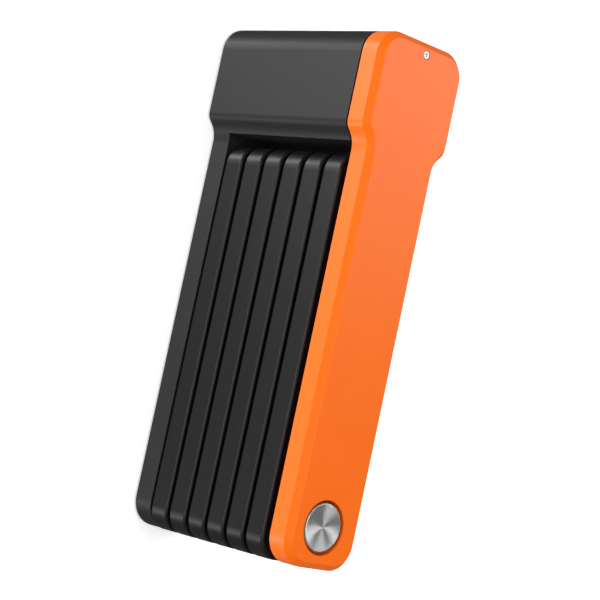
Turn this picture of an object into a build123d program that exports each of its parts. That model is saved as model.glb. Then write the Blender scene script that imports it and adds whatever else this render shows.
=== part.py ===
"""Folding bike lock: six riveted links folded away between a head with one long leg and a side cover.

X is the lock's depth, Y its long axis with the head at +Y and the main rivet at -Y, and Z runs
through the stack. The lock lies on the outer face of its leg, at Z = 0, with the side cover on top,
so every link swings about a vertical axis and the opened chain stays above the surface.
"""
from build123d import *
import os
from math import cos, hypot, radians, sin

# Links: a hardened steel core inside a moulded sheath
link_width = 30.4
link_thickness = 8.25
link_round = 7.6  # corner radius at both ends
link_edge = 0.85  # rounding along the edges of the sheath
core_thickness = 5.0
core_inset = 2.0  # sheath thickness around the core's outline
link_count = 6

# Outline seen from the side, shared by the head, the frame plate and the side cover
body_length = 180.0
back_guard = 2.2  # how far the leg and the side cover stand behind the links
shoulder = 4.6  # how far the head stands proud of the leg, front and back
shoulder_rise = 4.8  # length of the slope between the leg and the head
head_round = 9.0
shoulder_round = 4.0
neck_round = 8.0
foot_round = 9.5

# Layers through the stack, from the leg up
leg_thickness = 9.2
leg_gap = 0.7  # leg to the last link
link_gap = 1.6  # link to link
plate_gap = 3.2  # first link to the frame plate
cover_thickness = 8.9
shadow_gap = 0.7  # open line between the head and the side cover

# Side cover and frame plate
cover_bevel = 2.1
cover_wall = 2.2
bevel_soften = 0.3
plate_thickness = 4.0
plate_fit = 0.25  # frame plate inside the cover's wall

# Pivots
pivot_from_end = 14.0
link_end_gap = 3.0  # links' ends to the underside of the head
swing_gap = 0.4  # corners of a turning link to the underside of the head
shank_radius = 4.5
main_shank_radius = 5.0
rivet_head_radius = 7.0
rivet_head = 1.5
running = 0.05  # radial clearance of every turning fit
end_play = 0.1  # axial clearance of every turning fit
washer_overhang = 0.2  # washer beyond the rivet's head
washer_room = 0.4  # washer to the opening in the sheath
main_head_radius = 8.45
main_recess_gap = 0.85  # main rivet's head to the wall of its recess
main_head_drop = 0.35  # main rivet's head below the cover's face

# Head shell, tongue slot and lock block
head_wall = 2.4
end_wall = 6.8  # solid end of the head that holds the cover's pin
slot_fit = 0.3  # round the sides of the tongue
slot_depth_fit = 0.35  # above and below the tongue
slot_neck_wall = 2.2
slot_end_wall = 5.4
slot_depth = 28.1
slot_roof = 1.65
slot_lead_in = 0.7  # chamfer round the slot's mouth
lip_inset = 1.3
leg_edge = 1.5
block_fit = 0.2

# Key cylinder, lying along Y
housing_radius = 8.5
plug_radius = 6.5
key_hole_gap = 0.1
cylinder_above_slot = 27.5  # axis above the top of the slot
disc_thickness = 1.5
disc_pitch = 2.1
disc_radius = 5.0
disc_fit = 0.1
keyway_width = 2.6
keyway_height = 7.0

# Cam and locking bolt
cam_radius = 7.5
cam_thickness = 1.9
cam_throw = 4.0  # eccentric pin to the cylinder's axis
cam_pin_radius = 1.5
bolt_radius = 3.8
bolt_hole_gap = 0.5  # round the bolt in the last link's hole
bolt_plate = 2.6
bolt_arm_height = 6.0
bolt_fit = 0.25
cam_turn = 90.0  # degrees from open to locked

# Sliding dust cover over the keyway, in a T-shaped channel in the end face
dust_width = 22.0
dust_length = 20.0
dust_travel = 18.0
dust_flange = 1.4
dust_land_inset = 1.5
dust_lip = 0.8
dust_fit = 0.2
rib_height = 0.45

# Leg plate and fasteners
leg_plate_width = 22.0
leg_plate_thickness = 3.2
leg_plate_margin = 13.0
small_screw_radius = 1.5
small_screw_head = 2.8
screw_reach = 2.4
block_screw_radius = 2.0
block_screw_head = 3.8
block_screw_reach = 9.0
cover_pin_radius = 1.6
cover_pin_from_end = 4.35
cover_pin_offset = 0.5
cover_pin_reach = 9.0
cylinder_pin_radius = 1.25
cylinder_pin_bite = 1.2

# Positions that follow from the sizes above
leg_depth = link_width + back_guard
slot_width = link_width + 2 * slot_fit
head_length = slot_neck_wall + slot_width + slot_end_wall
head_depth = leg_depth + 2 * shoulder
foot_y = -body_length / 2
top_y = body_length / 2
neck_y = top_y - head_length
back_x = head_depth / 2
link_x = -leg_depth / 2 + link_width / 2
link_top_y = neck_y - link_end_gap
link_length = link_top_y - foot_y
link_y = (link_top_y + foot_y) / 2
rivet_end_y = foot_y + pivot_from_end
head_end_y = link_top_y - pivot_from_end
link_pitch = link_thickness + link_gap
corner_reach = hypot(link_width / 2 - link_round, pivot_from_end - link_round) + link_round
stack_z = leg_thickness + leg_gap
cover_z = stack_z + link_count * link_pitch - link_gap + plate_gap
top_z = cover_z + cover_thickness
plate_top_z = cover_z + plate_thickness
head_top_z = cover_z - shadow_gap
washer_radius = rivet_head_radius + washer_overhang
sheath_hole = washer_radius + washer_room
main_recess_radius = main_head_radius + main_recess_gap
plug_bore = disc_radius + disc_fit
key_hole_radius = plug_radius + key_hole_gap
bolt_hole_radius = bolt_radius + bolt_hole_gap

slot_z = stack_z - slot_depth_fit
slot_top_z = stack_z + link_thickness + slot_depth_fit
slot_y = neck_y + slot_neck_wall + slot_width / 2
slot_end_x = back_x - slot_depth
cavity_z = slot_top_z + slot_roof
cavity_back_y = neck_y + head_wall
cavity_front_y = top_y - end_wall
block_z = cavity_z + block_fit
block_back_y = cavity_back_y + block_fit
block_front_y = cavity_front_y - block_fit

bolt_x = slot_end_x + 2 * slot_fit + pivot_from_end
cylinder_z = slot_top_z + cylinder_above_slot
bolt_plate_y = block_back_y + 2 * block_fit
cam_y = bolt_plate_y + bolt_plate + 1.5 * block_fit
housing_y = cam_y + cam_thickness + block_fit
housing_length = block_front_y - housing_y
cam_rest = radians(cam_turn / 2)
cam_pin_x = cam_throw * cos(cam_rest)
cam_pin_z = cylinder_z + cam_throw * sin(cam_rest)
bolt_travel = 2 * cam_throw * sin(cam_rest)
bolt_floor_z = block_z + 7 * block_fit
bolt_arm_z = bolt_floor_z + bolt_travel + 2 * block_fit
dust_y = top_y - dust_lip - dust_fit / 2 - dust_flange


def link_bottom(number):
    """Height of the underside of a link; link 1 is next to the side cover."""
    return stack_z + (link_count - number) * link_pitch


def body_outline(inset=0.0):
    """The side view of the lock, with a narrow leg and a deeper head, drawn smaller by an inset."""
    half_leg = leg_depth / 2
    half_head = head_depth / 2
    shoulder_y = neck_y + shoulder_rise
    with BuildSketch(Plane.XY, mode=Mode.PRIVATE) as outline:
        with BuildLine():
            Polyline(
                (half_leg, foot_y),
                (half_leg, neck_y),
                (half_head, shoulder_y),
                (half_head, top_y),
                (-half_head, top_y),
                (-half_head, shoulder_y),
                (-half_leg, neck_y),
                (-half_leg, foot_y),
                close=True,
            )
        make_face()
        fillet(outline.vertices().group_by(Axis.Y)[3], head_round)
        fillet(outline.vertices().group_by(Axis.Y)[2], shoulder_round)
        fillet(outline.vertices().group_by(Axis.Y)[1], neck_round)
        fillet(outline.vertices().group_by(Axis.Y)[0], foot_round)
        if inset:
            offset(amount=-inset, mode=Mode.REPLACE)
    return outline.sketch


def head_section(inset, back_y, front_y):
    """The head's share of the outline, drawn smaller by an inset and cut off at two heights."""
    with BuildSketch(Plane.XY, mode=Mode.PRIVATE) as section:
        add(body_outline(inset))
        with Locations((0, (back_y + front_y) / 2)):
            Rectangle(2 * head_depth, front_y - back_y, mode=Mode.INTERSECT)
    return section.sketch


def screw_blanks(places, seat_z, direction, shank, head, reach):
    """Flat-head screws without sockets, heads flush with a face at seat_z; they also cut the holes."""
    with BuildPart() as blanks:
        for x, y in places:
            with BuildSketch(Plane((x, y, seat_z), x_dir=(1, 0, 0), z_dir=(0, -1, 0))):
                with BuildLine():
                    Polyline(
                        (0, 0),
                        (head, 0),
                        (shank, direction * (head - shank)),
                        (shank, direction * reach),
                        (0, direction * reach),
                        close=True,
                    )
                make_face()
            revolve(axis=Axis((x, y, seat_z), (0, 0, 1)))
    return blanks.part


def flat_head_screws(places, seat_z, direction, shank, head, reach):
    """The finished group of screws, each with a hexagon socket."""
    with BuildPart() as screws:
        add(screw_blanks(places, seat_z, direction, shank, head, reach))
        with BuildSketch(Plane.XY.offset(seat_z)):
            with Locations(*places):
                RegularPolygon(0.75 * shank, 6)
        extrude(amount=direction * 0.6 * shank, mode=Mode.SUBTRACT)
    return screws.part


os.makedirs("parts", exist_ok=True)

# Places of the fasteners
leg_plate_length = neck_y - foot_y - 2 * leg_plate_margin
leg_plate_y = (neck_y + foot_y) / 2
leg_screw_places = [(0, leg_plate_y + step * leg_plate_length / 2.5) for step in (-1, 0, 1)]
leg_screw = (small_screw_radius, small_screw_head, leg_plate_thickness + screw_reach)
block_screw_x = head_depth / 2 - head_wall - 2 * block_screw_head
block_screw_y = block_screw_head + 2
block_screw_places = [
    (side * block_screw_x, y)
    for side in (-1, 1)
    for y in (block_back_y + block_screw_y, block_front_y - block_screw_y)
]
block_screw = (block_screw_radius, block_screw_head, plate_thickness + block_screw_reach)
cover_screw_places = [(0, rivet_end_y + share * (neck_y - rivet_end_y)) for share in (0.3, 0.6, 0.9)]
cover_screw = (small_screw_radius, small_screw_head, plate_thickness + block_fit + screw_reach)
cover_pin_y = top_y - cover_pin_from_end
cover_pin_z = head_top_z - cover_pin_reach

# Head shell: head and leg moulded in one, open towards the side cover
with BuildPart() as head_shell:
    with BuildSketch(Plane.XY):
        add(body_outline())
    extrude(amount=head_top_z)
    fillet(head_shell.faces().sort_by(Axis.Z)[0].edges(), leg_edge)
    with BuildSketch(Plane.XY.offset(leg_thickness)):
        with Locations((0, (foot_y + neck_y) / 2)):
            Rectangle(2 * head_depth, neck_y - foot_y)
        with Locations((0, foot_y)):
            Rectangle(2 * head_depth, foot_round)
        with Locations((link_x, head_end_y)):
            Circle(corner_reach + swing_gap)
    extrude(amount=cover_z, mode=Mode.SUBTRACT)
    with BuildSketch(Plane.XY.offset(head_top_z)):
        add(head_section(lip_inset, neck_y + lip_inset, top_y))
    extrude(amount=shadow_gap)
    with BuildSketch(Plane.XY.offset(cavity_z)):
        add(head_section(head_wall, cavity_back_y, cavity_front_y))
    extrude(amount=cover_z, mode=Mode.SUBTRACT)
    with BuildSketch(Plane.XY.offset(slot_z)):
        with Locations((slot_end_x, slot_y)):
            Rectangle(2 * slot_depth, slot_width, align=(Align.MIN, Align.CENTER))
    extrude(amount=slot_top_z - slot_z, mode=Mode.SUBTRACT)
    slot_mouth = Plane((back_x, slot_y, (slot_z + slot_top_z) / 2), x_dir=(0, 1, 0), z_dir=(-1, 0, 0))
    with BuildSketch(slot_mouth):
        Rectangle(slot_width + 2 * slot_lead_in, slot_top_z - slot_z + 2 * slot_lead_in)
    extrude(amount=slot_lead_in, taper=45, mode=Mode.SUBTRACT)
    with BuildSketch(Plane.XY.offset(slot_top_z - 1)):
        with Locations((bolt_x, slot_y)):
            Circle(bolt_radius + bolt_fit)
    extrude(amount=slot_roof + 2, mode=Mode.SUBTRACT)
    with BuildSketch(Plane.XZ.offset(-cavity_front_y + 1)):
        with Locations((0, cylinder_z)):
            Circle(key_hole_radius)
    extrude(amount=-end_wall - 2, mode=Mode.SUBTRACT)
    dust_middle_z = cylinder_z - dust_travel / 2
    with BuildSketch(Plane.XZ.offset(-dust_y + dust_fit)):
        with Locations((0, dust_middle_z)):
            Rectangle(dust_width + 2 * dust_fit, dust_length + dust_travel + 2 * dust_fit)
    extrude(amount=-dust_flange - 1.5 * dust_fit, mode=Mode.SUBTRACT)
    with BuildSketch(Plane.XZ.offset(-dust_y)):
        with Locations((0, dust_middle_z)):
            Rectangle(
                dust_width + 2 * dust_fit - 2 * dust_land_inset,
                dust_length + dust_travel + 2 * dust_fit,
            )
    extrude(amount=-2 * dust_flange - dust_lip, mode=Mode.SUBTRACT)
    with BuildSketch(Plane.XY.offset(cover_pin_z)):
        with Locations((cover_pin_offset, cover_pin_y)):
            Circle(cover_pin_radius)
    extrude(amount=cover_z, mode=Mode.SUBTRACT)
    with BuildSketch(Plane.XY.offset(leg_thickness)):
        with Locations((0, leg_plate_y)):
            RectangleRounded(leg_plate_width, leg_plate_length, 2 * leg_plate_thickness)
    extrude(amount=-leg_plate_thickness, mode=Mode.SUBTRACT)
    add(screw_blanks(leg_screw_places, leg_thickness, -1, *leg_screw), mode=Mode.SUBTRACT)
head_shell.part.label = "head_shell"
export_step(head_shell.part, "parts/head_shell.step")

# Leg plate: steel strip let into the inner face of the leg
with BuildPart() as leg_plate:
    with BuildSketch(Plane.XY.offset(leg_thickness)):
        with Locations((0, leg_plate_y)):
            RectangleRounded(leg_plate_width, leg_plate_length, 2 * leg_plate_thickness)
    extrude(amount=-leg_plate_thickness)
    add(screw_blanks(leg_screw_places, leg_thickness, -1, *leg_screw), mode=Mode.SUBTRACT)
leg_plate.part.label = "leg_plate"
export_step(leg_plate.part, "parts/leg_plate.step")

leg_screws = flat_head_screws(leg_screw_places, leg_thickness, -1, *leg_screw)
leg_screws.label = "leg_screws"
export_step(leg_screws, "parts/leg_screws.step")

# Side cover: coloured shell over the frame plate, with the main rivet's recess
with BuildPart() as side_cover:
    with BuildSketch(Plane.XY.offset(cover_z)):
        add(body_outline())
    extrude(amount=cover_thickness)
    chamfer(side_cover.faces().sort_by(Axis.Z)[-1].edges(), cover_bevel)
    fillet(side_cover.faces().sort_by(Axis.Z)[-1].edges(), bevel_soften)
    with BuildSketch(Plane.XY.offset(cover_z)):
        add(body_outline(cover_wall))
    extrude(amount=plate_thickness + block_fit, mode=Mode.SUBTRACT)
    with BuildSketch(Plane.XY.offset(cover_z)):
        with Locations((link_x, rivet_end_y)):
            Circle(main_recess_radius)
        with Locations((cover_pin_offset, cover_pin_y)):
            Circle(cover_pin_radius)
    extrude(amount=2 * cover_thickness, mode=Mode.SUBTRACT)
    add(screw_blanks(cover_screw_places, cover_z, 1, *cover_screw), mode=Mode.SUBTRACT)
side_cover.part.label = "side_cover"
export_step(side_cover.part, "parts/side_cover.step")

# Frame plate: hardened steel, carries the main rivet and the lock block
with BuildPart() as frame_plate:
    with BuildSketch(Plane.XY.offset(cover_z)):
        add(body_outline(cover_wall + plate_fit))
        with Locations((link_x, rivet_end_y)):
            Circle(main_shank_radius, mode=Mode.SUBTRACT)
        with Locations((cover_pin_offset, cover_pin_y)):
            Circle(cover_pin_radius, mode=Mode.SUBTRACT)
    extrude(amount=plate_thickness)
    add(screw_blanks(cover_screw_places, cover_z, 1, *cover_screw), mode=Mode.SUBTRACT)
    add(screw_blanks(block_screw_places, plate_top_z, -1, *block_screw), mode=Mode.SUBTRACT)
frame_plate.part.label = "frame_plate"
export_step(frame_plate.part, "parts/frame_plate.step")

frame_screws = flat_head_screws(block_screw_places, plate_top_z, -1, *block_screw)
frame_screws.label = "frame_screws"
export_step(frame_screws, "parts/frame_screws.step")

cover_screws = flat_head_screws(cover_screw_places, cover_z, 1, *cover_screw)
cover_screws.label = "cover_screws"
export_step(cover_screws, "parts/cover_screws.step")

# Lock block: die-cast body in the head, bored for the cylinder and slotted for the bolt
with BuildPart() as lock_block:
    with BuildSketch(Plane.XY.offset(block_z)):
        add(head_section(head_wall + block_fit, block_back_y, block_front_y))
    extrude(amount=cover_z - block_z)
    with BuildSketch(Plane.XZ.offset(-housing_y)):
        with Locations((0, cylinder_z)):
            Circle(housing_radius)
    extrude(amount=-2 * housing_length, mode=Mode.SUBTRACT)
    with BuildSketch(Plane.XZ.offset(-block_back_y)):
        with Locations((0, cylinder_z)):
            Circle(cam_radius + block_fit)
    extrude(amount=-(housing_y - block_back_y), mode=Mode.SUBTRACT)
    bolt_pocket_width = 2 * (bolt_radius + bolt_fit)
    with BuildSketch(Plane.XY.offset(block_z)):
        with Locations((bolt_x, block_back_y)):
            Rectangle(bolt_pocket_width, slot_y - block_back_y, align=(Align.CENTER, Align.MIN))
        with Locations((bolt_x, slot_y)):
            Circle(bolt_radius + bolt_fit)
    extrude(amount=bolt_arm_z + bolt_arm_height + bolt_fit - block_z, mode=Mode.SUBTRACT)
    bolt_plate_low_x = cam_pin_x - cam_pin_radius - 3 * bolt_fit - cam_pin_radius
    bolt_plate_high_x = bolt_x + bolt_radius
    bolt_plate_top = cam_pin_z + 2.5 * cam_pin_radius
    with BuildSketch(Plane.XZ.offset(-block_back_y)):
        with Locations((bolt_plate_low_x - bolt_fit, bolt_floor_z)):
            Rectangle(
                bolt_plate_high_x - bolt_plate_low_x + 2 * bolt_fit,
                bolt_plate_top + bolt_fit - bolt_floor_z,
                align=(Align.MIN, Align.MIN),
            )
    extrude(amount=-(cam_y - block_back_y), mode=Mode.SUBTRACT)
    add(screw_blanks(block_screw_places, plate_top_z, -1, *block_screw), mode=Mode.SUBTRACT)
    with BuildSketch(Plane.XY.offset(cylinder_z)):
        with Locations((0, housing_y + housing_length / 4)):
            Circle(cylinder_pin_radius)
    extrude(amount=cover_z, mode=Mode.SUBTRACT)
lock_block.part.label = "lock_block"
export_step(lock_block.part, "parts/lock_block.step")

# Cylinder housing: turned brass barrel, held in the block by a pin
cylinder_pin_z = cylinder_z + housing_radius - cylinder_pin_bite
with BuildPart() as cylinder_housing:
    with BuildSketch(Plane.XZ.offset(-housing_y)):
        with Locations((0, cylinder_z)):
            Circle(housing_radius)
            Circle(plug_radius + running, mode=Mode.SUBTRACT)
    extrude(amount=-housing_length)
    with BuildSketch(Plane.XY.offset(cylinder_pin_z)):
        with Locations((0, housing_y + housing_length / 4)):
            Circle(cylinder_pin_radius)
    extrude(amount=2 * housing_radius, mode=Mode.SUBTRACT)
cylinder_housing.part.label = "cylinder_housing"
export_step(cylinder_housing.part, "parts/cylinder_housing.step")

with BuildPart() as cylinder_pin:
    with BuildSketch(Plane.XY.offset(cylinder_pin_z)):
        with Locations((0, housing_y + housing_length / 4)):
            Circle(cylinder_pin_radius)
    extrude(amount=cover_z - cylinder_pin_z)
cylinder_pin.part.label = "cylinder_pin"
export_step(cylinder_pin.part, "parts/cylinder_pin.step")

# Key plug: disc carrier with a keyway in its closed front, slotted for the sidebar
plug_front_y = block_front_y - end_play
plug_front_wall = 2.2
sidebar_width = 1.6
cam_boss = 2.0
disc_room = plug_front_y - plug_front_wall - housing_y - cam_boss
sidebar_length = disc_room - 2 * disc_thickness
sidebar_y = housing_y + cam_boss + disc_thickness
with BuildPart() as key_plug:
    with BuildSketch(Plane.XZ.offset(-cam_y - cam_thickness)):
        with Locations((0, cylinder_z)):
            Circle(plug_radius)
    extrude(amount=-(plug_front_y - cam_y - cam_thickness))
    with BuildSketch(Plane.XZ.offset(-cam_y)):
        with Locations((0, cylinder_z)):
            Circle(plug_bore)
    extrude(amount=-(plug_front_y - plug_front_wall - cam_y), mode=Mode.SUBTRACT)
    with BuildSketch(Plane.XZ.offset(-housing_y)):
        with Locations((0, cylinder_z)):
            Rectangle(keyway_width, keyway_height)
    extrude(amount=-2 * housing_length, mode=Mode.SUBTRACT)
    with BuildSketch(Plane.XZ.offset(-sidebar_y)):
        with Locations((0, cylinder_z + plug_bore)):
            Rectangle(sidebar_width, 4 * running + 2 * (plug_radius - plug_bore))
    extrude(amount=-sidebar_length, mode=Mode.SUBTRACT)
key_plug.part.label = "key_plug"
export_step(key_plug.part, "parts/key_plug.step")

with BuildPart() as sidebar:
    with BuildSketch(Plane.XZ.offset(-sidebar_y)):
        with Locations((0, cylinder_z + (plug_radius + plug_bore) / 2 - running)):
            Rectangle(sidebar_width - 2 * running, plug_radius - plug_bore - 2 * running)
    extrude(amount=-sidebar_length)
sidebar.part.label = "sidebar"
export_step(sidebar.part, "parts/sidebar.step")

# Locking discs: a pack of discs with a keyway, carried by the plug
disc_count = int((disc_room - disc_thickness) / disc_pitch)
with BuildPart() as lock_discs:
    for number in range(disc_count):
        disc_y = housing_y + cam_boss + end_play + number * disc_pitch
        with BuildSketch(Plane.XZ.offset(-disc_y)):
            with Locations((0, cylinder_z)):
                Circle(disc_radius)
                Rectangle(keyway_width, keyway_height, mode=Mode.SUBTRACT)
            with Locations((0, cylinder_z + disc_radius)):
                Rectangle(sidebar_width, 1.2, mode=Mode.SUBTRACT)
        extrude(amount=-disc_thickness)
lock_discs.part.label = "lock_discs"
export_step(lock_discs.part, "parts/lock_discs.step")

# Cam: disc on the back of the plug with an eccentric pin that drives the bolt
with BuildPart() as cam:
    with BuildSketch(Plane.XZ.offset(-cam_y)):
        with Locations((0, cylinder_z)):
            Circle(cam_radius)
    extrude(amount=-cam_thickness)
    with BuildSketch(Plane.XZ.offset(-cam_y - cam_thickness)):
        with Locations((0, cylinder_z)):
            Circle(plug_bore)
    extrude(amount=-cam_boss)
    with BuildSketch(Plane.XZ.offset(-cam_y)):
        with Locations((cam_pin_x, cam_pin_z)):
            Circle(cam_pin_radius)
    extrude(amount=bolt_plate + block_fit)
cam.part.label = "cam"
export_step(cam.part, "parts/cam.step")

# Locking bolt: slotted plate, arm and round nose, shown drawn back out of the slot
with BuildPart() as locking_bolt:
    with BuildSketch(Plane.XZ.offset(-bolt_plate_y)):
        with Locations((bolt_plate_low_x, bolt_arm_z)):
            Rectangle(
                bolt_plate_high_x - bolt_plate_low_x,
                bolt_plate_top - bolt_arm_z,
                align=(Align.MIN, Align.MIN),
            )
        with Locations(((cam_pin_x + cam_throw) / 2, cam_pin_z)):
            SlotCenterToCenter(
                cam_throw - cam_pin_x + bolt_fit, 2 * (cam_pin_radius + bolt_fit), mode=Mode.SUBTRACT
            )
    extrude(amount=-bolt_plate)
    with BuildSketch(Plane.XY.offset(bolt_arm_z)):
        with Locations((bolt_x, bolt_plate_y)):
            Rectangle(2 * bolt_radius, slot_y - bolt_plate_y, align=(Align.CENTER, Align.MIN))
        with Locations((bolt_x, slot_y)):
            Circle(bolt_radius)
    extrude(amount=bolt_arm_height)
    with BuildSketch(Plane.XY.offset(slot_top_z + bolt_fit)):
        with Locations((bolt_x, slot_y)):
            Circle(bolt_radius)
    extrude(amount=bolt_arm_z - slot_top_z - bolt_fit)
locking_bolt.part.label = "locking_bolt"
export_step(locking_bolt.part, "parts/locking_bolt.step")

# Keyhole cover: flanged slide with three grip ribs, below the end face
with BuildPart() as keyhole_cover:
    with BuildSketch(Plane.XZ.offset(-dust_y)):
        with Locations((0, cylinder_z)):
            Rectangle(dust_width, dust_length)
    extrude(amount=-dust_flange)
    with BuildSketch(Plane.XZ.offset(-dust_y - dust_flange)):
        with Locations((0, cylinder_z)):
            Rectangle(dust_width - 2 * dust_land_inset, dust_length)
    extrude(amount=-(top_y - rib_height - dust_y - dust_flange))
    with BuildSketch(Plane.XZ.offset(-top_y + rib_height)):
        with Locations((0, cylinder_z)):
            with GridLocations(1, dust_length / 6, 1, 3):
                SlotOverall(dust_width / 2, dust_length / 16)
    extrude(amount=-0.8 * rib_height)
keyhole_cover.part.label = "keyhole_cover"
export_step(keyhole_cover.part, "parts/keyhole_cover.step")

# Cover pin: small pin through the side cover into the solid end of the head
with BuildPart() as cover_pin:
    with BuildSketch(Plane.XY.offset(cover_pin_z)):
        with Locations((cover_pin_offset, cover_pin_y)):
            Circle(cover_pin_radius)
    extrude(amount=top_z - main_head_drop / 2 - cover_pin_z)
    chamfer(cover_pin.faces().sort_by(Axis.Z)[-1].edges(), cover_pin_radius / 8)
cover_pin.part.label = "cover_pin"
export_step(cover_pin.part, "parts/cover_pin.step")

# Main rivet: broad head on the cover's face, shank through the frame plate and link 1
first_z = link_bottom(1)
core_lift = (link_thickness - core_thickness) / 2
with BuildPart() as main_rivet:
    with BuildSketch(Plane((link_x, rivet_end_y, 0), x_dir=(1, 0, 0), z_dir=(0, -1, 0))):
        tail_z = first_z + core_lift - end_play
        with BuildLine():
            Polyline(
                (0, tail_z - rivet_head),
                (rivet_head_radius, tail_z - rivet_head),
                (rivet_head_radius, tail_z),
                (main_shank_radius, tail_z),
                (main_shank_radius, plate_top_z),
                (main_head_radius, plate_top_z),
                (main_head_radius, top_z - main_head_drop),
                (0, top_z - main_head_drop),
                close=True,
            )
        make_face()
    revolve(axis=Axis((link_x, rivet_end_y, 0), (0, 0, 1)))
    chamfer(main_rivet.faces().sort_by(Axis.Z)[-1].edges(), main_head_drop)
main_rivet.part.label = "main_rivet"
export_step(main_rivet.part, "parts/main_rivet.step")

with BuildPart() as main_washer:
    with BuildSketch(Plane.XY.offset(first_z + core_lift + core_thickness + end_play)):
        with Locations((link_x, rivet_end_y)):
            Circle(washer_radius)
            Circle(main_shank_radius + running, mode=Mode.SUBTRACT)
    extrude(amount=core_lift + plate_gap - end_play)
main_washer.part.label = "main_washer"
export_step(main_washer.part, "parts/main_washer.step")

# Links: each one has its driving pivot at one end and carries the next link's rivet at the other
for number in range(1, link_count + 1):
    at_rivet_end = number % 2 == 1
    parent_y = rivet_end_y if at_rivet_end else head_end_y
    far_y = head_end_y if at_rivet_end else rivet_end_y
    last = number == link_count
    shank_in_parent = main_shank_radius if number == 1 else shank_radius
    far_hole = bolt_hole_radius if last else shank_radius
    far_sheath = bolt_hole_radius + end_play if last else sheath_hole
    bottom_z = link_bottom(number)

    with BuildPart() as link_core:
        with BuildSketch(Plane.XY.offset(bottom_z + core_lift)):
            with Locations((link_x, link_y)):
                RectangleRounded(
                    link_width - 2 * core_inset,
                    link_length - 2 * core_inset,
                    link_round - core_inset,
                )
            with Locations((link_x, parent_y)):
                Circle(shank_in_parent + running, mode=Mode.SUBTRACT)
            with Locations((link_x, far_y)):
                Circle(far_hole, mode=Mode.SUBTRACT)
        extrude(amount=core_thickness)
    link_core.part.label = f"link_{number}_core"
    export_step(link_core.part, f"parts/link_{number}_core.step")

    with BuildPart() as link_sheath:
        with BuildSketch(Plane.XY.offset(bottom_z)):
            with Locations((link_x, link_y)):
                RectangleRounded(link_width, link_length, link_round)
        extrude(amount=link_thickness)
        fillet(link_sheath.faces().sort_by(Axis.Z)[-1].edges(), link_edge)
        fillet(link_sheath.faces().sort_by(Axis.Z)[0].edges(), link_edge)
        with BuildSketch(Plane.XY.offset(bottom_z + core_lift)):
            with Locations((link_x, link_y)):
                RectangleRounded(
                    link_width - 2 * core_inset,
                    link_length - 2 * core_inset,
                    link_round - core_inset,
                )
        extrude(amount=core_thickness, mode=Mode.SUBTRACT)
        with BuildSketch(Plane.XY.offset(bottom_z - 1)):
            with Locations((link_x, parent_y)):
                Circle(sheath_hole)
            with Locations((link_x, far_y)):
                Circle(far_sheath)
        extrude(amount=link_thickness + 2, mode=Mode.SUBTRACT)
    link_sheath.part.label = f"link_{number}_sheath"
    export_step(link_sheath.part, f"parts/link_{number}_sheath.step")

    if last:
        continue
    next_core_z = link_bottom(number + 1) + core_lift
    head_seat_z = bottom_z + core_lift + core_thickness
    tail_z = next_core_z - end_play
    with BuildPart() as rivet:
        with BuildSketch(Plane((link_x, far_y, 0), x_dir=(1, 0, 0), z_dir=(0, -1, 0))):
            with BuildLine():
                Polyline(
                    (0, tail_z - rivet_head),
                    (rivet_head_radius, tail_z - rivet_head),
                    (rivet_head_radius, tail_z),
                    (shank_radius, tail_z),
                    (shank_radius, head_seat_z),
                    (rivet_head_radius, head_seat_z),
                    (rivet_head_radius, head_seat_z + rivet_head),
                    (0, head_seat_z + rivet_head),
                    close=True,
                )
            make_face()
        revolve(axis=Axis((link_x, far_y, 0), (0, 0, 1)))
    rivet.part.label = f"rivet_{number}_{number + 1}"
    export_step(rivet.part, f"parts/rivet_{number}_{number + 1}.step")

    washer_z = next_core_z + core_thickness + end_play
    with BuildPart() as washer:
        with BuildSketch(Plane.XY.offset(washer_z)):
            with Locations((link_x, far_y)):
                Circle(washer_radius)
                Circle(shank_radius + running, mode=Mode.SUBTRACT)
        extrude(amount=bottom_z + core_lift - washer_z)
    washer.part.label = f"washer_{number}_{number + 1}"
    export_step(washer.part, f"parts/washer_{number}_{number + 1}.step")
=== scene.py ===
import math

import bmesh
import bpy
from mathutils import Matrix, Vector


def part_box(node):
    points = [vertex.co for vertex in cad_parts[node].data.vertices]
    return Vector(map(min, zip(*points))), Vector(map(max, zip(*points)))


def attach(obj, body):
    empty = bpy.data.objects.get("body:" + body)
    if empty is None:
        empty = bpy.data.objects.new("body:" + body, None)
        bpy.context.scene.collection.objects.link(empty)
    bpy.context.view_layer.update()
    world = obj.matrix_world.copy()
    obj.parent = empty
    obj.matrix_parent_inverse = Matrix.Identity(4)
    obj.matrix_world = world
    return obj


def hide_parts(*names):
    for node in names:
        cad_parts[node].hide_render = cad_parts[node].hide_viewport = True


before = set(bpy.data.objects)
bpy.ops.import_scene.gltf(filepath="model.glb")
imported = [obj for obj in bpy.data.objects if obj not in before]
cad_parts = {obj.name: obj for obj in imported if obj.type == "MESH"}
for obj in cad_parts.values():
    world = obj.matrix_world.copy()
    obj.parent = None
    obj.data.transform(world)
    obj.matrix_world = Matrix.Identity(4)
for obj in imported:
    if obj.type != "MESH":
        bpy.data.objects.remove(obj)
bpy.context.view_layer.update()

# ---- Camera --------------------------------------------------------------------------------------
# The lock is pictured from the corner between its front edges and its side cover, leaning to the
# right with its head up, so the camera is turned about its own line of sight.
camera_place = Vector((-0.4769, -0.0460, 0.5385))
camera_azimuth = math.radians(46.0)
camera_dip = math.radians(-3.65)
camera_roll = math.radians(12.03)

# Directions are worked out on the lock stood on its rivet end: across the stack, depth, length
away = Vector((
    math.sin(camera_azimuth) * math.cos(camera_dip),
    -math.cos(camera_azimuth) * math.cos(camera_dip),
    math.sin(camera_dip),
))
level = Vector((0, 0, 1)).cross(away).normalized()
upright = away.cross(level)
to_right = math.cos(camera_roll) * level + math.sin(camera_roll) * upright
to_top = math.cos(camera_roll) * upright - math.sin(camera_roll) * level
axes = [Vector((way.y, way.z, way.x)) for way in (to_right, to_top, away)]

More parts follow.
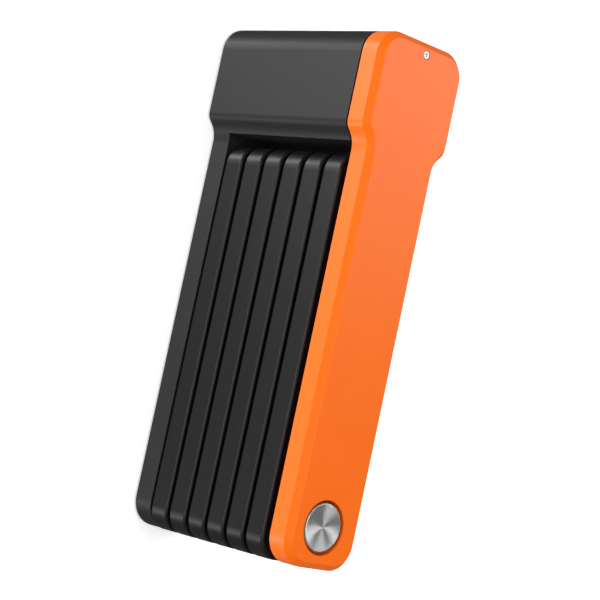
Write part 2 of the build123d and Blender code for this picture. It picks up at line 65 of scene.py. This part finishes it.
camera_data = bpy.data.cameras.new("product_camera")
camera_data.sensor_width = 36.0
camera_data.lens = 119.5
camera_data.clip_start = 0.05
camera = bpy.data.objects.new("product_camera", camera_data)
camera.matrix_world = Matrix.Translation(camera_place) @ Matrix(axes).transposed().to_4x4()
bpy.context.scene.collection.objects.link(camera)
bpy.context.scene.camera = camera

# ---- Head shell ----------------------------------------------------------------------------------
# Head and long leg, injection moulded in one piece of black glass-filled nylon. The outside has the
# fine spark-eroded grain of the mould; the hollow that takes the links is left rougher and painted
# darker, as painted shade.


def linear(code):
    """Turns an sRGB hex colour into the linear values that a shader takes."""
    parts = [int(code[at:at + 2], 16) / 255 for at in (1, 3, 5)]
    return (*[c / 12.92 if c <= 0.04045 else ((c + 0.055) / 1.055) ** 2.4 for c in parts], 1.0)


def add_node(material, kind, settings=None, inputs=None):
    """Adds a shader node with its settings, and fills its inputs with values or other outputs."""
    tree = material.node_tree
    node = tree.nodes.new("ShaderNode" + kind)
    for option, value in (settings or {}).items():
        setattr(node, option, value)
    for socket, value in (inputs or {}).items():
        if isinstance(value, bpy.types.NodeSocket):
            tree.links.new(value, node.inputs[socket])
        else:
            node.inputs[socket].default_value = value
    return node


def empty_material(name):
    """A material with no nodes in it yet."""
    material = bpy.data.materials.new(name)
    material.use_nodes = True
    material.node_tree.nodes.clear()
    return material


def dress(material, *names):
    """Gives CAD nodes a material in place of the plain one that they come with."""
    for name in names:
        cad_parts[name].data.materials.clear()
        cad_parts[name].data.materials.append(material)


def moulded_nylon():
    """Glass-filled nylon, moulded: a deep neutral black with a soft, even, slightly grainy sheen."""
    grit = 0.0005  # a 0.2 mm grain, drawn coarser so that it shows
    blotch = 0.012
    low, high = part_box("link_6_sheath")
    hollow_depth = -low.x - 0.0002  # just behind the front edge of the last link
    hollow_roof = high.y + 0.004  # just past its end, under the head
    hollow_floor = low.z - 0.001  # just under it, on the leg
    material = empty_material("moulded_glass_filled_nylon")
    place = add_node(material, "TexCoord").outputs["Object"]
    grain = add_node(material, "TexNoise", inputs={"Vector": place, "Scale": 1 / grit, "Detail": 2.0})
    cloud = add_node(material, "TexNoise", inputs={"Vector": place, "Scale": 1 / blotch, "Detail": 3.0})
    tone = add_node(material, "Mix", {"data_type": "RGBA"}, {
        "Factor": cloud.outputs["Fac"], "A": linear("#1A1A1B"), "B": linear("#212122"),
    })
    spot = add_node(material, "SeparateXYZ", inputs={"Vector": place})
    deep = add_node(material, "Math", {"operation": "ABSOLUTE"}, {0: spot.outputs["X"]})
    inside = add_node(material, "Math", {"operation": "LESS_THAN"}, {
        0: deep.outputs["Value"], 1: hollow_depth,
    })
    below = add_node(material, "Math", {"operation": "LESS_THAN"}, {
        0: spot.outputs["Y"], 1: hollow_roof,
    })
    above = add_node(material, "Math", {"operation": "GREATER_THAN"}, {
        0: spot.outputs["Z"], 1: hollow_floor,
    })
    both = add_node(material, "Math", {"operation": "MULTIPLY"}, {
        0: below.outputs["Value"], 1: above.outputs["Value"],
    })
    hollow_rough_and_painted_shade = add_node(material, "Math", {"operation": "MULTIPLY"}, {
        0: both.outputs["Value"], 1: inside.outputs["Value"],
    })
    # Inside the hollow the black is painted darker, as painted shade in the recess under the head; the
    # hollow is also made rougher.
    shade = add_node(material, "Mix", {"data_type": "RGBA"}, {
        "Factor": hollow_rough_and_painted_shade.outputs["Value"], "A": tone.outputs["Result"], "B": linear("#0E0E0E"),
    })
    satin = add_node(material, "MapRange", inputs={
        "Value": cloud.outputs["Fac"], "To Min": 0.44, "To Max": 0.52,
    })
    sheen = add_node(material, "Math", {"operation": "MULTIPLY_ADD"}, {
        0: hollow_rough_and_painted_shade.outputs["Value"], 1: 0.4, 2: satin.outputs["Result"],
    })
    relief = add_node(material, "Bump", inputs={
        "Height": grain.outputs["Fac"], "Strength": 0.35, "Distance": 0.00003,
    })
    shader = add_node(material, "BsdfPrincipled", inputs={
        "Base Color": shade.outputs["Result"], "Roughness": sheen.outputs["Value"],
        "Normal": relief.outputs["Normal"], "IOR": 1.53, "Specular IOR Level": 0.35,
    })
    add_node(material, "OutputMaterial", inputs={"Surface": shader.outputs["BSDF"]})
    return material


dress(moulded_nylon(), "head_shell")

# ---- Leg plate and its screws --------------------------------------------------------------------
# Spring-steel strip let into the inner face of the leg, so that the leg can't be sawn off. It is
# ground flat, zinc plated, and held by three countersunk screws in black oxide.


def ground_steel():
    """Hardened steel, ground along its length and plated: a cool grey with fine lengthwise lines."""
    line = 0.0004  # grinding lines of about 0.1 mm, drawn coarser so that they show
    patch = 0.0111
    material = empty_material("ground_plated_hardened_steel")
    place = add_node(material, "TexCoord").outputs["Object"]
    along = add_node(material, "Mapping", inputs={"Vector": place, "Scale": (1.0, 0.02, 1.0)})
    lines = add_node(material, "TexNoise", inputs={
        "Vector": along.outputs["Vector"], "Scale": 1 / line, "Detail": 2.0,
    })
    cloud = add_node(material, "TexNoise", inputs={"Vector": place, "Scale": 1 / patch, "Detail": 3.0})
    tone = add_node(material, "Mix", {"data_type": "RGBA"}, {
        "Factor": cloud.outputs["Fac"], "A": linear("#8E9094"), "B": linear("#A9ABAE"),
    })
    sheen = add_node(material, "MapRange", inputs={
        "Value": lines.outputs["Fac"], "To Min": 0.28, "To Max": 0.42,
    })
    relief = add_node(material, "Bump", inputs={
        "Height": lines.outputs["Fac"], "Strength": 0.3, "Distance": 0.00002,
    })
    shader = add_node(material, "BsdfPrincipled", inputs={
        "Base Color": tone.outputs["Result"], "Roughness": sheen.outputs["Result"],
        "Normal": relief.outputs["Normal"], "Metallic": 1.0,
    })
    add_node(material, "OutputMaterial", inputs={"Surface": shader.outputs["BSDF"]})
    return material


def black_oxide():
    """Black-oxide screw steel: nearly black, oily satin, with faint brown clouds in the blacking."""
    stain = 0.00111
    material = empty_material("black_oxide_screw_steel")
    place = add_node(material, "TexCoord").outputs["Object"]
    cloud = add_node(material, "TexNoise", inputs={"Vector": place, "Scale": 1 / stain, "Detail": 4.0})
    tone = add_node(material, "Mix", {"data_type": "RGBA"}, {
        "Factor": cloud.outputs["Fac"], "A": linear("#2A2826"), "B": linear("#3A3A3C"),
    })
    sheen = add_node(material, "MapRange", inputs={
        "Value": cloud.outputs["Fac"], "To Min": 0.3, "To Max": 0.45,
    })
    relief = add_node(material, "Bump", inputs={
        "Height": cloud.outputs["Fac"], "Strength": 0.2, "Distance": 0.00002,
    })
    shader = add_node(material, "BsdfPrincipled", inputs={
        "Base Color": tone.outputs["Result"], "Roughness": sheen.outputs["Result"],
        "Normal": relief.outputs["Normal"], "Metallic": 1.0,
    })
    add_node(material, "OutputMaterial", inputs={"Surface": shader.outputs["BSDF"]})
    return material


steel = ground_steel()
blacking = black_oxide()
dress(steel, "leg_plate")
dress(blacking, "leg_screws")

# ---- Links ---------------------------------------------------------------------------------------
# Six hardened steel bars, each moulded into a tough polyamide sheath with rounded ends and edges.
# The rim of a sheath is smooth; its broad faces are rougher, from the sand-blasted mould, and painted
# darker as shade between the links.


def moulded_sheath():
    """Polyamide moulded round the bar: near black, satin on the rims, with faint lengthwise flow."""
    grit = 0.0004  # blast grain of about 0.15 mm, drawn coarser so that it shows
    streak = 0.0025
    material = empty_material("overmoulded_polyamide_sheath")
    place = add_node(material, "TexCoord").outputs["Object"]
    grain = add_node(material, "TexNoise", inputs={"Vector": place, "Scale": 1 / grit, "Detail": 2.0})
    along = add_node(material, "Mapping", inputs={"Vector": place, "Scale": (1.0, 0.06, 1.0)})
    flow = add_node(material, "TexNoise", inputs={
        "Vector": along.outputs["Vector"], "Scale": 1 / streak, "Detail": 2.0,
    })
    tone = add_node(material, "Mix", {"data_type": "RGBA"}, {
        "Factor": flow.outputs["Fac"], "A": linear("#121213"), "B": linear("#18181A"),
    })
    facing = add_node(material, "SeparateXYZ", inputs={
        "Vector": add_node(material, "NewGeometry").outputs["True Normal"],
    })
    broad = add_node(material, "Math", {"operation": "ABSOLUTE"}, {0: facing.outputs["Z"]})
    broad_rough_and_painted_shade = add_node(material, "MapRange", inputs={
        "Value": broad.outputs["Value"], "From Min": 0.75, "From Max": 0.98,
        "To Min": 0.0, "To Max": 1.0,
    })
    # The broad faces are painted darker here, as painted shade in the narrow gaps between the links;
    # they are also made rougher.
    shade = add_node(material, "Mix", {"data_type": "RGBA"}, {
        "Factor": broad_rough_and_painted_shade.outputs["Result"], "A": tone.outputs["Result"], "B": linear("#0B0B0C"),
    })
    sheen = add_node(material, "MapRange", inputs={
        "Value": broad_rough_and_painted_shade.outputs["Result"], "To Min": 0.38, "To Max": 0.6,
    })
    relief = add_node(material, "Bump", inputs={
        "Height": grain.outputs["Fac"], "Strength": 0.3, "Distance": 0.00003,
    })
    shader = add_node(material, "BsdfPrincipled", inputs={
        "Base Color": shade.outputs["Result"], "Roughness": sheen.outputs["Result"],
        "Normal": relief.outputs["Normal"], "IOR": 1.5, "Specular IOR Level": 0.3,
    })
    add_node(material, "OutputMaterial", inputs={"Surface": shader.outputs["BSDF"]})
    return material


links = range(1, 7)
dress(moulded_sheath(), *[f"link_{number}_sheath" for number in links])
dress(steel, *[f"link_{number}_core" for number in links])

# ---- Rivets and washers between the links --------------------------------------------------------
# Five hardened rivets with a formed head at each end, turned and polished, and the plain washers
# that keep the bars apart.


def turned_stainless(centre, dark, bright):
    """Stainless steel faced on a lathe: a disc whose sheen fans out from the centre."""
    ring = 0.00018  # facing marks of about 0.05 mm, drawn coarser so that they show
    wave_rate = 20  # the texture multiplies its coordinates by this before it takes their sine
    material = empty_material("turned_stainless_steel")
    place = add_node(material, "TexCoord").outputs["Object"]
    centred = add_node(material, "Mapping", inputs={
        "Vector": place, "Location": (-centre[0], -centre[1], 0.0),
    })
    rings = add_node(material, "TexWave", {"wave_type": "RINGS", "rings_direction": "Z"}, {
        "Vector": centred.outputs["Vector"], "Scale": math.tau / wave_rate / ring,
        "Distortion": 0.6, "Detail": 1.0,
    })
    tone = add_node(material, "Mix", {"data_type": "RGBA"}, {
        "Factor": rings.outputs["Fac"], "A": linear(dark), "B": linear(bright),
    })
    sheen = add_node(material, "MapRange", inputs={
        "Value": rings.outputs["Fac"], "To Min": 0.24, "To Max": 0.32,
    })
    grooves = add_node(material, "Tangent", {"direction_type": "RADIAL", "axis": "Z"})
    shader = add_node(material, "BsdfPrincipled", inputs={
        "Base Color": tone.outputs["Result"], "Roughness": sheen.outputs["Result"],
        "Tangent": grooves.outputs["Tangent"], "Metallic": 1.0, "Anisotropic": 0.9,
    })
    add_node(material, "OutputMaterial", inputs={"Surface": shader.outputs["BSDF"]})
    return material


def turned_piece(name, profile, centre, softening):
    """Spins a profile of (radius, height) about an upright axis and rounds its corners off."""
    corner = math.radians(25)
    blank = bmesh.new()
    corners = [blank.verts.new((radius, 0.0, height)) for radius, height in profile]
    outline = [blank.edges.new(pair) for pair in zip(corners, corners[1:])]
    bmesh.ops.spin(
        blank, geom=corners + outline, cent=(0, 0, 0), axis=(0, 0, 1), angle=math.tau, steps=96,
        use_merge=True,
    )
    bmesh.ops.remove_doubles(blank, verts=blank.verts, dist=1e-6)
    bmesh.ops.recalc_face_normals(blank, faces=blank.faces)
    sharp = [edge for edge in blank.edges if edge.calc_face_angle(0.0) > corner]
    bmesh.ops.bevel(
        blank, geom=sharp, offset=softening, affect="EDGES", segments=2, profile=0.5, material=-1,
    )
    bmesh.ops.translate(blank, verts=blank.verts, vec=(*centre, 0.0))
    piece = bpy.data.objects.new(name, bpy.data.meshes.new(name))
    for face in blank.faces:
        face.smooth = True
    blank.to_mesh(piece.data)
    blank.free()
    bpy.context.scene.collection.objects.link(piece)
    return piece


def crown(radius, rim, top, rise, steps=8):
    """Points of a low dome from its rim to its middle, on the arc that has that rise."""
    ball = (radius ** 2 + rise ** 2) / (2 * rise)
    spread = math.asin(radius / ball)
    angles = [spread * (steps - step) / steps for step in range(steps + 1)]
    dome = [(ball * math.sin(turn), top - ball * (1 - math.cos(turn))) for turn in angles]
    return [(radius, rim), *dome[:-1], (0.0, top)]


polished = ("#D6D7D8", "#F0F0F0")
rivet_shank = 0.0045
rivet_head = 0.0015
rivet_rise = 0.00075  # how far a head is crowned
rivet_softening = 0.00008
for number in links[:-1]:
    low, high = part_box(f"rivet_{number}_{number + 1}")
    centre = ((low.x + high.x) / 2, (low.y + high.y) / 2)
    head_radius = (high.x - low.x) / 2
    upper = crown(head_radius, high.z - rivet_head, high.z, rivet_rise)
    lower = [(radius, low.z + high.z - height) for radius, height in reversed(upper)]
    neck = [(rivet_shank, low.z + rivet_head), (rivet_shank, high.z - rivet_head)]
    rivet = turned_piece(f"link_rivet_{number}", lower + neck + upper, centre, rivet_softening)
    rivet.data.materials.append(turned_stainless(centre, *polished))
    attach(rivet, f"link_{number}")
    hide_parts(f"rivet_{number}_{number + 1}")
    dress(steel, f"washer_{number}_{number + 1}")

# ---- Main rivet and its washer -------------------------------------------------------------------
# The chain's anchor: a broad turned head in a round recess of the side cover, a shank through the
# frame plate and the first link, and a washer between the two.
low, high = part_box("main_rivet")
centre = ((low.x + high.x) / 2, (low.y + high.y) / 2)
anchor_head = (high.x - low.x) / 2
anchor_tail = 0.007
anchor_shank = 0.005
anchor_chamfer = 0.00045
anchor_land = 0.00018  # flat rim between the chamfer and the hollow face
anchor_slope = 0.00027
anchor_dish = 0.00006  # the face is cut a hair hollow, so that its rim stays crisp
anchor_softening = 0.00005
head_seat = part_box("frame_plate")[1].z
anchor = turned_piece(
    "anchor_rivet",
    [
        (0.0, low.z),
        (anchor_tail, low.z),
        (anchor_tail, low.z + rivet_head),
        (anchor_shank, low.z + rivet_head),
        (anchor_shank, head_seat),
        (anchor_head, head_seat),
        (anchor_head, high.z - anchor_chamfer),
        (anchor_head - anchor_chamfer, high.z),
        (anchor_head - anchor_chamfer - anchor_land, high.z),
        (anchor_head - anchor_chamfer - anchor_land - anchor_slope, high.z - anchor_dish),
        (0.0, high.z - anchor_dish),
    ],
    centre,
    anchor_softening,
)
anchor.data.materials.append(turned_stainless(centre, *polished))
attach(anchor, "lock_body")
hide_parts("main_rivet")
dress(steel, "main_washer")

# ---- Frame plate, lock block and screws ----------------------------------------------------------
# Hardened plate that carries everything, and the die-cast zinc block screwed to it in the head.


def cast_zinc():
    """Die-cast zinc, tumbled: a soft dull grey with a pebbly skin."""
    pebble = 0.000833
    material = empty_material("die_cast_zinc")
    place = add_node(material, "TexCoord").outputs["Object"]
    skin = add_node(material, "TexNoise", inputs={"Vector": place, "Scale": 1 / pebble, "Detail": 3.0})
    tone = add_node(material, "Mix", {"data_type": "RGBA"}, {
        "Factor": skin.outputs["Fac"], "A": linear("#9A9C9E"), "B": linear("#B4B5B6"),
    })
    relief = add_node(material, "Bump", inputs={
        "Height": skin.outputs["Fac"], "Strength": 0.4, "Distance": 0.00005,
    })
    shader = add_node(material, "BsdfPrincipled", inputs={
        "Base Color": tone.outputs["Result"], "Roughness": 0.5,
        "Normal": relief.outputs["Normal"], "Metallic": 1.0,
    })
    add_node(material, "OutputMaterial", inputs={"Surface": shader.outputs["BSDF"]})
    return material


dress(steel, "frame_plate")
dress(blacking, "frame_screws", "cover_screws")
dress(cast_zinc(), "lock_block")

# ---- Key cylinder --------------------------------------------------------------------------------
# Turned brass housing and plug, brass locking discs, and the steel pin, sidebar and cam.


def turned_brass():
    """Free-cutting brass from the lathe: warm yellow with fine turning marks round its length."""
    mark = 0.0003  # feed marks of about 0.1 mm, drawn coarser so that they show
    material = empty_material("turned_brass")
    place = add_node(material, "TexCoord").outputs["Object"]
    across = add_node(material, "Mapping", inputs={"Vector": place, "Scale": (0.02, 1.0, 0.02)})
    marks = add_node(material, "TexNoise", inputs={
        "Vector": across.outputs["Vector"], "Scale": 1 / mark, "Detail": 2.0,
    })
    tone = add_node(material, "Mix", {"data_type": "RGBA"}, {
        "Factor": marks.outputs["Fac"], "A": linear("#C9A24B"), "B": linear("#E0BC68"),
    })
    sheen = add_node(material, "MapRange", inputs={
        "Value": marks.outputs["Fac"], "To Min": 0.22, "To Max": 0.36,
    })
    shader = add_node(material, "BsdfPrincipled", inputs={
        "Base Color": tone.outputs["Result"], "Roughness": sheen.outputs["Result"],
        "Metallic": 1.0,
    })
    add_node(material, "OutputMaterial", inputs={"Surface": shader.outputs["BSDF"]})
    return material


dress(turned_brass(), "cylinder_housing", "key_plug", "lock_discs")
dress(steel, "cylinder_pin", "sidebar", "cam", "locking_bolt")

# ---- Keyhole cover -------------------------------------------------------------------------------
# Dust cover that slides over the keyway, moulded in acetal, with three ribs for a fingertip.


def acetal():
    """Acetal: black, smooth and slightly waxy, with a few hairlines from use."""
    hairline = 0.0004  # scratches of under 0.05 mm, drawn coarser so that they show
    material = empty_material("moulded_acetal")
    place = add_node(material, "TexCoord").outputs["Object"]
    along = add_node(material, "Mapping", inputs={"Vector": place, "Scale": (1.0, 1.0, 0.04)})
    hairs = add_node(material, "TexNoise", inputs={
        "Vector": along.outputs["Vector"], "Scale": 1 / hairline, "Detail": 2.0,
    })
    tone = add_node(material, "Mix", {"data_type": "RGBA"}, {
        "Factor": hairs.outputs["Fac"], "A": linear("#1C1C1D"), "B": linear("#262627"),
    })
    sheen = add_node(material, "MapRange", inputs={
        "Value": hairs.outputs["Fac"], "To Min": 0.26, "To Max": 0.4,
    })
    shader = add_node(material, "BsdfPrincipled", inputs={
        "Base Color": tone.outputs["Result"], "Roughness": sheen.outputs["Result"], "IOR": 1.48,
    })
    add_node(material, "OutputMaterial", inputs={"Surface": shader.outputs["BSDF"]})
    return material


dress(acetal(), "keyhole_cover")

# ---- Side cover ----------------------------------------------------------------------------------
# The coloured shell over the frame plate, moulded in ABS with a broad chamfer round its face.


def orange_abs():
    """Through-coloured ABS: a vivid orange with a satin skin and the faintest orange peel."""
    drift = 0.0167  # how far apart the resin's slight changes of colour lie
    peel = 0.0022
    grit = 0.0004  # mould grain of about 0.1 mm, drawn coarser so that it shows
    material = empty_material("moulded_orange_abs")
    place = add_node(material, "TexCoord").outputs["Object"]
    cloud = add_node(material, "TexNoise", inputs={"Vector": place, "Scale": 1 / drift, "Detail": 2.0})
    ripple = add_node(material, "TexNoise", inputs={"Vector": place, "Scale": 1 / peel, "Detail": 1.0})
    grain = add_node(material, "TexNoise", inputs={"Vector": place, "Scale": 1 / grit, "Detail": 2.0})
    tone = add_node(material, "Mix", {"data_type": "RGBA"}, {
        "Factor": cloud.outputs["Fac"], "A": linear("#F66A06"), "B": linear("#F96F09"),
    })
    sheen = add_node(material, "MapRange", inputs={
        "Value": grain.outputs["Fac"], "To Min": 0.33, "To Max": 0.39,
    })
    swell = add_node(material, "Bump", inputs={
        "Height": ripple.outputs["Fac"], "Strength": 0.15, "Distance": 0.00003,
    })
    relief = add_node(material, "Bump", inputs={
        "Height": grain.outputs["Fac"], "Strength": 0.15, "Distance": 0.00002,
        "Normal": swell.outputs["Normal"],
    })
    shader = add_node(material, "BsdfPrincipled", inputs={
        "Base Color": tone.outputs["Result"], "Roughness": sheen.outputs["Result"],
        "Normal": relief.outputs["Normal"], "IOR": 1.5, "Specular IOR Level": 0.3,
    })
    add_node(material, "OutputMaterial", inputs={"Surface": shader.outputs["BSDF"]})
    return material


dress(orange_abs(), "side_cover")

# ---- Cover pin -----------------------------------------------------------------------------------
# Small stainless pin through the side cover into the solid end of the head. It is left as turned,
# so it is duller than the rivets, and its end still has the hole that held it in the lathe.
low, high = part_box("cover_pin")
centre = ((low.x + high.x) / 2, (low.y + high.y) / 2)
pin_radius = (high.x - low.x) / 2
pin_point = 0.0006
pin_chamfer = 0.00025
pin_dimple = 0.0006  # centre drilled at 90 degrees, so as deep as its radius
pin_softening = 0.00003
pin = turned_piece(
    "cover_pin_turned",
    [
        (0.0, low.z),
        (pin_radius - pin_point, low.z),
        (pin_radius, low.z + pin_point),
        (pin_radius, high.z - pin_chamfer),
        (pin_radius - pin_chamfer, high.z),
        (pin_dimple, high.z),
        (0.0, high.z - pin_dimple),
    ],
    centre,
    pin_softening,
)
pin.data.materials.append(turned_stainless(centre, "#9A9B9D", "#B4B5B6"))
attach(pin, "lock_body")
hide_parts("cover_pin")

# ---- Floor and light -----------------------------------------------------------------------------
# A plain white table and six soft boxes: one overhead, one beyond the head whose sheen lies on the
# side cover, one in front, and three below the table's level, which draw the highlights on the head
# and on the links' two ends. The table casts no shadow and isn't mirrored, so light passes it.
table_reach = 6.0
floor = bpy.data.objects.new("floor", bpy.data.meshes.new("floor"))
table = bmesh.new()
bmesh.ops.create_grid(table, x_segments=1, y_segments=1, size=table_reach)
table.to_mesh(floor.data)
table.free()
bpy.context.scene.collection.objects.link(floor)
paper = empty_material("white_paper")
shader = add_node(paper, "BsdfPrincipled", inputs={
    "Base Color": linear("#FCFCFC"), "Roughness": 0.9, "Specular IOR Level": 0.1,
    "Emission Color": linear("#FFFFFF"), "Emission Strength": 0.4,
})
add_node(paper, "OutputMaterial", inputs={"Surface": shader.outputs["BSDF"]})
floor.data.materials.append(paper)
floor.visible_glossy = False
floor.visible_shadow = False


def softbox(name, place, size, power):
    """A square area light that points at the middle of the lock."""
    light = bpy.data.lights.new(name, "AREA")
    light.size = size
    light.energy = power
    box = bpy.data.objects.new(name, light)
    bpy.context.scene.collection.objects.link(box)
    box.location = place
    box.rotation_euler = Vector(place).to_track_quat("Z", "Y").to_euler()


softbox("overhead_box", (-0.15, 0.0, 1.35), 0.9, 11.5)
softbox("sheen_box", (0.9, 0.45, 0.85), 0.55, 4.4)
softbox("front_box", (-0.9, -0.05, 0.25), 0.5, 3.4)
softbox("head_glint_box", (-0.42, 0.47, -0.62), 0.2, 1.7)
softbox("foot_glint_box", (-0.55, -0.38, -0.62), 0.2, 1.1)
softbox("shell_glint_box", (-0.74, 0.26, -0.4), 0.2, 1.8)

surround = bpy.data.worlds.new("studio")
surround.use_nodes = True
surround.node_tree.nodes["Background"].inputs["Color"].default_value = (1.0, 1.0, 1.0, 1.0)
surround.node_tree.nodes["Background"].inputs["Strength"].default_value = 0.18
bpy.context.scene.world = surround
bpy.context.scene.view_settings.view_transform = "Standard"
